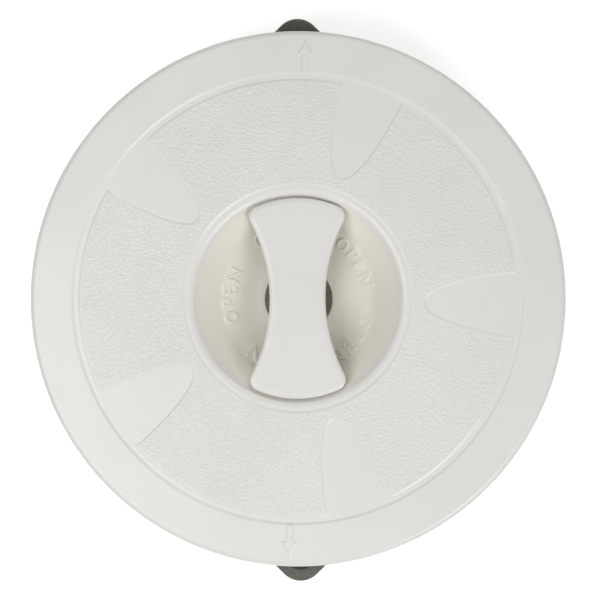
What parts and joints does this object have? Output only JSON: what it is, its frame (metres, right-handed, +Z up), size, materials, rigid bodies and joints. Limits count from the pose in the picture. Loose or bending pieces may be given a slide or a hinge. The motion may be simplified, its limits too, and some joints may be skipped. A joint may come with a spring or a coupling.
{
  "type": "deck hatch",
  "caption": "Round deck hatch lid with a leaf-patterned tread, a bow-tie turn handle in a centre dish, and a cranked locking bar with wear pads below.",
  "frame": {"origin": "centre of the plane where the rim seal sits on the deck", "axes": "+Z up, out of the deck, along the handle's axis; +Y along the rim arrows, which is where the bar points when it is locked; +X completes the frame, through one leaf of the tread"},
  "size_m": [0.25, 0.2658, 0.0531],
  "materials": {
    "white_moulding": "satin, with a fine leather grain on the tread",
    "grey_moulding": "matt, glass-filled",
    "black_moulding": "satin",
    "acetal": "smooth",
    "seal_rubber": "matt",
    "stainless": "bright",
    "brass": "turned"
  },
  "bodies": {
    "lid": {"lid_cover": "white_moulding", "rim_seal": "seal_rubber", "seal_retainer": "black_moulding", "retainer_screws": "stainless", "hub_sleeve": "acetal"},
    "lock": {"handle": "white_moulding", "handle_inserts": "brass", "handle_screws": "stainless", "spindle": "grey_moulding", "spindle_insert": "brass", "spindle_oring_upper": "seal_rubber", "spindle_oring_lower": "seal_rubber", "thrust_washer_upper": "acetal", "thrust_washer_lower": "acetal", "locking_bar": "grey_moulding", "bar_pad_front": "black_moulding", "bar_pad_back": "black_moulding", "centre_bolt": "stainless", "bolt_washer": "stainless", "spring_washer": "stainless"}
  },
  "joints": [
    {"name": "handle_turn", "type": "hinge", "parent": "lid", "child": "lock", "pos_m": [0, 0, 0], "axis": [0, 0, 1], "range_deg": [-2.2, 87.8]}
  ]
}
